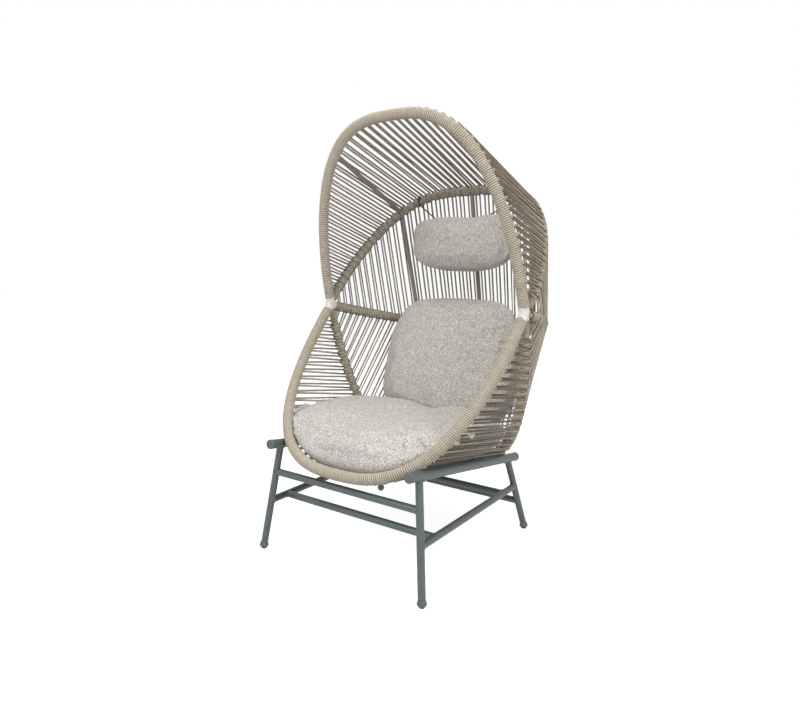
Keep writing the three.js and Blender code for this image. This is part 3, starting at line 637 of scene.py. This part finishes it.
def winding(hoop, rope, seed):
    """One rope wound tightly along a hoop, with the small unevenness of handwork: the points of
    the rope's middle, and the hoop's middle beside each."""
    start, stop = WINDING_SETBACK / hoop.length, 1 - WINDING_SETBACK / hoop.length
    pitch = rope * PITCH
    turns = (stop - start) * hoop.length / pitch
    steps = int(turns * TURN_STEPS)
    radius = (hoop.tube + rope) / 2
    points, middles = [], []
    for i in range(steps + 1):
        share = start + (stop - start) * i / steps
        turn = 2 * math.pi * i / TURN_STEPS
        middle, way = hoop.at(share), hoop.way(share)
        inward = hoop.across.cross(way).normalized()
        uneven = noise.noise(Vector((i / TURN_STEPS * 0.37, seed, 0)))
        slip = noise.noise(Vector((i / TURN_STEPS * 0.21, seed, 9)))
        out = inward * math.cos(turn) + hoop.across * math.sin(turn)
        points.append(middle + out * (radius + UNEVEN * MM * uneven) + way * SLIP * MM * slip)
        middles.append(middle)
    return points, middles


def mark_crests(mesh, points, middles, radius):
    """Keeps with each point of a wound rope how far out of the hoop it looks, from 0 to 1, for the
    painted shade between its turns. The mesh starts with the ends' two caps."""
    rings = [len(points) - 1, 0, *range(len(points))]
    sides = len(mesh.vertices) // len(rings)
    crest = mesh.attributes.new("crest", "FLOAT", "POINT").data
    for i, vert in enumerate(mesh.vertices):
        ring = rings[i // sides]
        out = (points[ring] - middles[ring]).normalized()
        crest[i].value = 0.5 + 0.5 * (vert.co - points[ring]).dot(out) / radius


for seed, (name, hoop) in enumerate(hoops.items()):
    is_rim = name.startswith("rim")
    rope = RIM_ROPE if is_rim else ROPE
    points, middles = winding(hoop, rope, 3.7 * seed)
    mesh = rope_mesh(name, [points], rope, 8)
    mark_crests(mesh, points, middles, rope / 2)
    material = rim_rope if is_rim else wound_rope
    piece(name + "_winding", mesh, material, nodes=[name + "_wrap"], smooth_below=80)


# Rope: strung panels
MARGIN, TIE_SHARE = 0.036, 10 / 28
LOOP_LIFT = 0.5 * ROPE
TUCK_STEPS, TUCK_ANGLE, TUCK_DEPTH, TUCK_DRIFT = 9, 95, 1 * MM, 0.002
BIGHT, BIGHT_STEPS = 8.2 * MM, 12
WANDER = 4.5 * MM
POD_MIDDLE = place(0, WAIST_Y, WAIST_Z)


def hitch_frame(hoop, share, other, other_share):
    """At a place on a hoop: its middle, the way out of the pod, and the way to the other hoop."""
    middle, way = hoop.at(share), hoop.way(share)
    towards = other.at(other_share) - middle
    outward = way.cross(towards).normalized()
    if outward.dot(middle - POD_MIDDLE) < 0:
        outward.negate()
    inward = (towards - way * towards.dot(way)).normalized()
    return middle, outward, inward


def on_hoop(hoop, spot, angle, lift):
    """A point beside a hoop, an angle round it from the way out of the pod to the other hoop, with
    the rope's middle a lift above that of the winding's rope."""
    middle, outward, inward = spot
    radius = (hoop.tube + ROPE) / 2 + lift
    return middle + (outward * math.cos(angle) + inward * math.sin(angle)) * radius


def tucked(hoop, share, spot, crest, drift):
    """From under the winding up to where a strand leaves it."""
    points = []
    for i in range(TUCK_STEPS + 1):
        left = 1 - i / TUCK_STEPS
        lift = LOOP_LIFT - (LOOP_LIFT + TUCK_DEPTH) * max(0.0, left - 0.25) / 0.75
        moved = (hoop.at(share + drift * left), spot[1], spot[2])
        points.append(on_hoop(hoop, moved, crest - math.radians(TUCK_ANGLE) * left, lift))
    return points


def spot_between(hoop, first, second, spots, share):
    """The middle and the two ways, as hitch_frame gives them, between two strands."""
    outward = spots[0][1].lerp(spots[1][1], share).normalized()
    inward = spots[0][2].lerp(spots[1][2], share).normalized()
    return hoop.at(first + (second - first) * share), outward, inward


def hooked(hoop, first, second, spots, crests, bend):
    """A bight on the edge of the rim, between the two strands of a pair."""
    points = []
    for i in range(BIGHT_STEPS + 1):
        share = i / BIGHT_STEPS
        bow = math.sin(math.pi * share) ** 0.7
        spot = spot_between(hoop, first, second, spots, share)
        angle = crests[0] + (crests[1] - crests[0]) * share - math.radians(bend) * bow
        points.append(on_hoop(hoop, spot, angle, ROPE * (1 - 0.3 * bow)))
    return points


def looped(hoop, first, second, spots, crests, turns):
    """Round the hoop between two strands, from the angle of one to that of the other."""
    points = []
    steps = int(TURN_STEPS * turns)
    for i in range(steps + 1):
        share = i / steps
        angle = crests[0] + (crests[1] - crests[0] - 2 * math.pi * turns) * share
        spot = spot_between(hoop, first, second, spots, share)
        lift = LOOP_LIFT + (ROPE - LOOP_LIFT) * max(math.cos(angle), 0)
        points.append(on_hoop(hoop, spot, angle, lift))
    return points


# For each panel: its two hoops, the pairs of strands, the spacing in a pair at a rim or else 0, and
# the shares where one section ends and the next begins
panels = {
    "hood": ("rim_upper", "crown_arch", 56, BIGHT, (TIE_SHARE, 0.5, 1 - TIE_SHARE)),
    "back": ("crown_arch", "back_hoop", 42, 0, (TIE_SHARE, 1 - TIE_SHARE)),
    "lower_back": ("back_hoop", "seat_hoop", 42, 0, (TIE_SHARE, 1 - TIE_SHARE)),
    "seat": ("rim_lower", "seat_hoop", 52, BIGHT, (TIE_SHARE, 1 - TIE_SHARE)),
}
# For each panel: the rope, the angles at which the outer and the inner strand of a pair meet the
# first hoop and then the second, how far a bight bends round the rim, and the turns round the
# second hoop between two pairs
windings = {
    "hood": (8.0 * MM, (16, 36), (16, 36), 22, 2),
    "back": (7.8 * MM, (12, 36), (12, 36), 0, 2),
    "lower_back": (8.1 * MM, (12, 36), (12, 36), 0, 2),
    "seat": (7.8 * MM, (40, 80), (5, 50), 30, 1),
}
sections = {
    "hood": ("side_left", "top_left", "top_right", "side_right"),
    "back": ("left", "middle", "right"),
    "lower_back": ("left", "middle", "right"),
    "seat": ("left", "middle", "right"),
}


def strand_places(panel, pair, half):
    """Where a strand meets its two hoops, each place a little off, as hands leave it."""
    first, second, pairs, spacing, _ = panels[panel]
    span = 1 - 2 * MARGIN
    share = MARGIN + span * (2 * pair + half + 0.5) / (2 * pairs)
    slips = [
        WANDER * noise.noise(Vector((pair * 0.73 + half * 0.41, 1.7 * len(panel), end)))
        for end in (0.3, 7.1)
    ]
    there = share + slips[1] / hoops[second].length
    if not spacing:
        return share + slips[0] / hoops[first].length, there
    middle = MARGIN + span * (pair + 0.5) / pairs
    return middle + (half - 0.5) * spacing / hoops[first].length, there


def section_run(panel, first_pair, last_pair):
    """The rope of a section: each pair of strands meets at the first hoop, and between two pairs
    the rope goes round the second."""
    first, second, _, spacing, _ = panels[panel]
    _, *crests, bend, turns = windings[panel]
    near_crests, far_crests = ([math.radians(angle) for angle in pair] for pair in crests)
    near, far = hoops[first], hoops[second]
    run = []
    for pair in range(first_pair, last_pair):
        places = [strand_places(panel, pair, half) for half in (0, 1)]
        spots = [
            (hitch_frame(near, a, far, b), hitch_frame(far, b, near, a)) for a, b in places
        ]
        if pair == first_pair:
            run += tucked(far, places[0][1], spots[0][1], far_crests[0], -TUCK_DRIFT)
        else:
            ends = [before, places[0][1]]
            run += looped(far, *ends, [before_spot, spots[0][1]], far_crests[::-1], turns)
        ends = [near, places[0][0], places[1][0], [spots[0][0], spots[1][0]], near_crests]
        run += hooked(*ends, bend) if spacing else looped(*ends, turns)
        before, before_spot = places[1][1], spots[1][1]
    return run + tucked(far, before, before_spot, far_crests[1], TUCK_DRIFT)[::-1]


for panel, (_, _, pairs, _, breaks) in panels.items():
    stops = [0, *(round(share * pairs) for share in breaks), pairs]
    for section, start, stop in zip(sections[panel], stops, stops[1:]):
        name = f"{panel}_rope_{section}"
        mesh = rope_mesh(name, [section_run(panel, start, stop)], windings[panel][0], 8)
        node = f"{panel}_strands_{section}"
        piece(name, mesh, net_rope, nodes=[node], smooth_below=80)


# Cushions: the cloth, the rounds of fitting, the room to rope and between pads, and how far the
# seat pad keeps from the middles of two hoops
PRESSURE, CLOTH_FRAMES = 4, 20
HOOP_SAMPLES, EVENING_ROUNDS, CLEARING_ROUNDS, SPREAD = 400, 8, 6, 0.75
SEAT_ROOM, BACK_ROOM, FILL_OUT = 4 * MM, 5 * MM, 14 * MM
ROPE_GAP, PAD_GAP = 2.5 * MM, 1.5 * MM
RIM_RADIUS, SEAT_HOOP_RADIUS = 22.5 * MM, 19 * MM


def opened(made):
    """A piece's mesh, ready to have its points moved."""
    bm = bmesh.new()
    bm.from_mesh(made.data)
    bm.normal_update()
    return bm


def put_back(bm, made):
    """Ends the changes that opened began."""
    bm.to_mesh(made.data)
    bm.free()


def beside(vert, moves):
    """The moves of the points next to one."""
    return [moves[edge.other_vert(vert).index] for edge in vert.link_edges]


def baked(holder, modifier_steps):
    """Applies modifiers to an object's mesh, in order."""
    for kind, settings in modifier_steps:
        modifier = holder.modifiers.new(kind, kind)
        for key, value in settings.items():
            setattr(modifier, key, value)
        graph = bpy.context.evaluated_depsgraph_get()
        mesh = bpy.data.meshes.new_from_object(holder.evaluated_get(graph))
        holder.modifiers.clear()
        old = holder.data
        holder.data = mesh
        bpy.data.meshes.remove(old)
    return holder


def stuffed(name, node, body, voxel, shrink, cap):
    """A cushion grown from its solid: made round, blown up as cloth, and smoothed."""
    bm = bmesh.new()
    bm.from_mesh(frame["nodes"][node].data)
    bmesh.ops.remove_doubles(bm, verts=bm.verts, dist=1e-5)
    limits = {"angle_face_threshold": math.pi, "angle_shape_threshold": math.pi}
    bmesh.ops.join_triangles(bm, faces=bm.faces, **limits)
    cage = mesh_of(bm, name)
    made = piece(name, cage.copy(), tweed, body, [node], smooth_below=0)
    levels = {"levels": 2, "render_levels": 2}
    cage.materials.append(tweed)
    corners = [vert.co.copy() for vert in cage.vertices]
    for _ in range(4):
        made.data = cage.copy()
        baked(made, [("SUBSURF", levels)])
        for vert, corner, smooth in zip(cage.vertices, corners, made.data.vertices):
            vert.co += corner - smooth.co
    baked(made, [("REMESH", {"mode": "VOXEL", "voxel_size": voxel})])
    bm = opened(made)
    for vert in bm.verts:
        vert.co -= vert.normal * shrink
    axes = {"use_axis_x": True, "use_axis_y": True, "use_axis_z": True}
    for _ in range(4):
        bmesh.ops.smooth_vert(bm, verts=bm.verts, factor=0.5, **axes)
    put_back(bm, made)
    inflate(made, shrink, cap)
    return made


def inflate(made, shrink, cap):
    """Blows the cushion up as cloth for a moment. A point may move by the cap where it looks into
    the pod, and only back to the solid's face where it looks at the rope net."""
    mesh = made.data
    rest = [vert.co.copy() for vert in mesh.vertices]
    looks = [vert.normal.dot((POD_MIDDLE - vert.co).normalized()) for vert in mesh.vertices]
    cloth = made.modifiers.new("cloth", "CLOTH")
    cloth.settings.use_pressure = True
    cloth.settings.uniform_pressure_force = PRESSURE
    cloth.settings.effector_weights.gravity = 0
    cloth.settings.quality = 5
    scene = bpy.context.scene
    for number in range(CLOTH_FRAMES):
        scene.frame_set(number + 1)
    graph = bpy.context.evaluated_depsgraph_get()
    blown = made.evaluated_get(graph).to_mesh()
    moved = [vert.co.copy() for vert in blown.vertices]
    made.modifiers.clear()
    scene.frame_set(1)
    for vert, start, stop, look in zip(mesh.vertices, rest, moved, looks):
        way = stop - start
        most = shrink + (cap - shrink) * min(max(look * 1.5 + 0.6, 0), 1)
        vert.co = start + way * min(1.0, most / max(way.length, 1e-9))


def creased(made, folds):
    """Presses folds into a cushion: each is a line between two points with a width and a depth,
    shallower at its ends, with a low ridge on both sides."""
    mesh = made.data
    for start, stop, width, depth in folds:
        way = stop - start
        for vert in mesh.vertices:
            share = min(max((vert.co - start).dot(way) / way.length_squared, 0), 1)
            offset = vert.co - start - way * share
            over = offset.dot(vert.normal)
            away = (offset - vert.normal * over).length / width
            if away < 3 and abs(over) < 40 * MM:
                fade = math.sin(math.pi * (0.12 + 0.76 * share))
                furrow, ridge = math.exp(-away * away), 0.35 * math.exp(-((away - 1.6) ** 2) * 2)
                vert.co -= vert.normal * depth * fade * (furrow - ridge)


def pushed(made, *pushes):
    """Moves soft spots of a cushion: each push has a place, a reach and a way, in millimetres."""
    for spot, reach, way in pushes:
        centre, offset = place(*spot), Vector(way) * MM
        for vert in made.data.vertices:
            away = (vert.co - centre).length / (reach * MM)
            if away < 1:
                vert.co += offset * (1 - away * away) ** 2


def surface_of(*names):
    """The surface of some pieces, to ask how near it is."""
    bm = bmesh.new()
    for name in names:
        bm.from_mesh(bpy.data.objects[name].data)
    tree = BVHTree.FromBMesh(bm)
    bm.free()
    return tree


def settled(made, tree, room, limit):
    """Lets a cushion fill out to the rope beside it: a point that looks at rope moves out until
    only the room is left, by no more than the limit."""
    bm = opened(made)
    moves = []
    for vert in bm.verts:
        near, _, _, gap = tree.find_nearest(vert.co)
        facing = vert.normal.dot((near - vert.co).normalized())
        fade = min(max((0.05 - gap) / 0.02, 0), 1)
        moves.append(min(max(gap - room, 0), limit) * min(max(facing * 1.8, 0), 1) * fade)
    for _ in range(EVENING_ROUNDS):
        moves = [
            0.5 * moves[vert.index] + 0.5 * sum(beside(vert, moves)) / len(vert.link_edges)
            for vert in bm.verts
        ]
    for vert, move in zip(bm.verts, moves):
        vert.co += vert.normal * move
    put_back(bm, made)


def off_hoop(made, hoop, radius):
    """Moves a cushion's surface out to a distance from the centre line of a hoop."""
    line = KDTree(HOOP_SAMPLES + 1)
    for i in range(HOOP_SAMPLES + 1):
        line.insert(hoop.at(i / HOOP_SAMPLES), i)
    line.balance()
    for vert in made.data.vertices:
        centre, _, gap = line.find(vert.co)
        if gap < radius:
            vert.co = centre + (vert.co - centre) * radius / max(gap, 1e-6)


def cleared(made, tree, room):
    """Moves a cushion's surface back wherever it is nearer than the room to what lies beside it."""
    for _ in range(CLEARING_ROUNDS):
        bm = opened(made)
        moves = []
        for vert in bm.verts:
            near, normal, _, gap = tree.find_nearest(vert.co)
            inside = (vert.co - near).dot(normal) < 0
            moves.append(max(room + gap if inside else room - gap, 0))
        if not any(moves):
            bm.free()
            return
        for _ in range(3):
            moves = [max(moves[vert.index], SPREAD * max(beside(vert, moves))) for vert in bm.verts]
        for vert, move in zip(bm.verts, moves):
            vert.co -= vert.normal * move
        put_back(bm, made)


def finished(made):
    baked(made, [("SUBSURF", {"levels": 1, "render_levels": 1})])
    made.data.shade_smooth()


seat_pad = stuffed("seat_pad", "seat_cushion", "chair", 6 * MM, 4 * MM, 12 * MM)
back_pad = stuffed("back_pad", "back_cushion", "chair", 6 * MM, 4 * MM, 10 * MM)
head_pad = stuffed("head_pad", "head_cushion", "head_rest", 5 * MM, 3 * MM, 8 * MM)
seat_ropes = surface_of(
    "rim_lower_winding", "seat_hoop_winding", "seat_rope_left", "seat_rope_middle", "seat_rope_right"
)
back_ropes = surface_of(
    *("back_hoop_winding", "seat_hoop_winding", "seat_rope_left", "seat_rope_right"),
    *(f"{panel}_rope_{side}" for panel in ("back", "lower_back") for side in sections[panel]),
)
pushed(
    seat_pad,
    ((-352, -190, 470), 170, (-15, -6, 5)),
    ((352, -190, 470), 170, (15, -6, 5)),
    ((60, 170, 486), 150, (0, 0, -17)),
    ((180, 80, 489), 105, (0, 0, 15)),
    ((290, 20, 489), 120, (0, 0, 13)),
    ((-70, -205, 478), 130, (0, 0, -10)),
    ((-230, -120, 480), 150, (0, 0, 6)),
    ((60, -290, 450), 150, (0, -5, 6)),
    ((-330, -230, 450), 130, (-9, -3, 6)),
)
creased(
    seat_pad,
    [
        (place(112, 92, 489), place(-50, -15, 487), 13 * MM, 16 * MM),
        (place(109, 63, 489), place(180, -50, 489), 13 * MM, 5 * MM),
        (place(154, -195, 477), place(212, -290, 448), 9 * MM, 14 * MM),
        (place(216, -210, 472), place(288, -262, 450), 8 * MM, 13 * MM),
        (place(282, -158, 482), place(245, -50, 489), 10 * MM, 7 * MM),
        (place(-88, -169, 482), place(-58, -275, 463), 24 * MM, 7 * MM),
    ],
)
pushed(
    back_pad,
    ((215, 390, 850), 150, (20, 0, 18)),
    ((-205, 390, 850), 130, (-10, 0, 10)),
    ((40, 235, 470), 240, (0, -9, -12)),
    ((75, 235, 470), 110, (0, -6, -10)),
    ((255, 330, 680), 240, (10, 2, 0)),
)
pushed(
    head_pad,
    ((25, 402, 1210), 90, (0, 0, -10)),
    ((140, 405, 1200), 90, (0, 0, 8)),
    ((-90, 405, 1200), 60, (0, 0, 3)),
)
creased(head_pad, [(place(212, 403, 1101), place(200, 398, 1050), 12 * MM, 7 * MM)])
settled(seat_pad, seat_ropes, SEAT_ROOM, FILL_OUT)
settled(back_pad, back_ropes, BACK_ROOM, FILL_OUT)
every_name = [made.name for made in bpy.data.objects]
every_rope = surface_of(*(key for key in every_name if "_rope_" in key or key.endswith("_winding")))
off_hoop(seat_pad, hoops["rim_lower"], RIM_RADIUS)
off_hoop(seat_pad, hoops["seat_hoop"], SEAT_HOOP_RADIUS)
cleared(seat_pad, every_rope, ROPE_GAP)
off_hoop(seat_pad, hoops["rim_lower"], RIM_RADIUS)
cleared(back_pad, every_rope, ROPE_GAP)
cleared(back_pad, surface_of("seat_pad"), PAD_GAP)
for pad in (seat_pad, back_pad, head_pad):
    finished(pad)

# Head cushion cords: two strands side by side, round the arch and down to the cushion
SWING_Y, SWING_Z = 360.65 * MM, 1296.03 * MM
CORD_END_X, CORD_END_Y = 128 * MM, 430
CORD_SINK, STRAND_SHIFT, RING_STEPS, TAIL_STEPS = 1.5, 1.6, 32, 10
head_tree = surface_of("head_pad")
for side in ("left", "right"):
    node = "head_cushion_tie_" + side
    low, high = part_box(node)
    ring_radius = high.z - SWING_Z - CORD / 2
    reach = max(abs(low.x - SHIFT.x), abs(high.x - SHIFT.x))
    sign = 1 if side == "right" else -1
    ring_x = SHIFT.x + sign * (reach - CORD / 2)
    target = Vector((SHIFT.x + sign * CORD_END_X, place(0, CORD_END_Y, 0).y, low.z + 1 * MM))
    surface, facing = head_tree.find_nearest(target)[:2]
    target = surface - facing * CORD_SINK * MM
    centre = Vector((ring_x, SWING_Y, SWING_Z))
    down = (target - centre).normalized()
    down.x = 0
    down.normalize()
    back = X.cross(down)
    runs = []
    for strand in (-1, 1):
        shift = X * strand * STRAND_SHIFT * MM
        ring = []
        for i in range(RING_STEPS + 1):
            turn = 2 * math.pi * i / RING_STEPS
            out = down * math.cos(turn) + back * math.sin(turn)
            ring.append(centre + shift + out * ring_radius)
        end = target + shift * 0.6
        tail = [along(ring[-1], end, (i + 1) / TAIL_STEPS) for i in range(TAIL_STEPS)]
        runs.append(ring + tail)
    name = "cushion_cord_" + side
    mesh = rope_mesh(name, runs, CORD, 8)
    piece(name, mesh, cord_rope, "head_rest", [node], smooth_below=80)

# Floor, world and light
GREY, WHITE = (0.5, 0.5, 0.5, 1), (1, 1, 1, 1)
FLOOR_GLOW, SKY_LIGHT, SKY_SEEN = 0.8, 0.4, 0.6


def direct_view(nodes):
    """1 for a ray that the eye follows, straight or by a mirror or glass, and 0 for any other."""
    light_path = nodes("LightPath").outputs
    seen = nodes.math("MAXIMUM", light_path["Is Camera Ray"], light_path["Is Glossy Ray"])
    return nodes.math("MAXIMUM", seen, light_path["Is Transmission Ray"])


bm = bmesh.new()
bmesh.ops.create_grid(bm, x_segments=1, y_segments=1, size=20)
floor = bpy.data.objects.new("floor", mesh_of(bm, "floor"))
bpy.context.scene.collection.objects.link(floor)
floor_material = bpy.data.materials.new("pale_floor")
floor_material.use_nodes = True
floor.data.materials.append(floor_material)
nodes = Nodes(floor_material.node_tree)
floor_material.node_tree.nodes.clear()
seen = direct_view(nodes)
diffuse = nodes("BsdfDiffuse", {"Color": GREY}).outputs[0]
glow_strength = nodes.math("MULTIPLY", seen, FLOOR_GLOW)
glow = nodes("Emission", {"Color": WHITE, "Strength": glow_strength}).outputs[0]
both = nodes("AddShader", {0: diffuse, 1: glow}).outputs[0]
nodes("OutputMaterial", {"Surface": both})

world = bpy.data.worlds.new("studio")
bpy.context.scene.world = world
world.use_nodes = True
nodes = Nodes(world.node_tree)
world.node_tree.nodes.clear()
strength = nodes.math("MULTIPLY_ADD", direct_view(nodes), SKY_SEEN, SKY_LIGHT)
sky = nodes("Background", {"Color": WHITE, "Strength": strength}).outputs[0]
nodes("OutputWorld", {"Surface": sky})


def soft_box(name, where, aim, size, power):
    """A rectangular lamp with its size in metres and its power in watts."""
    lamp = bpy.data.lights.new(name, "AREA")
    lamp.shape = "RECTANGLE"
    lamp.size, lamp.size_y = size
    lamp.energy = power
    holder = bpy.data.objects.new(name, lamp)
    holder.location = where
    holder.rotation_euler = (aim - where).to_track_quat("-Z", "Y").to_euler()
    bpy.context.scene.collection.objects.link(holder)


AIM = Vector((0, 0, 0.8))
soft_box("key_light", Vector((-0.6, -3.5, 3.0)), AIM, (2.4, 1.8), 80)
soft_box("fill_light", Vector((3.6, -1.2, 2.0)), AIM, (2.0, 2.0), 62)
soft_box("top_light", Vector((0.4, 0.6, 4.0)), AIM, (2.4, 2.4), 72)

bpy.context.scene.view_settings.view_transform = "Standard"
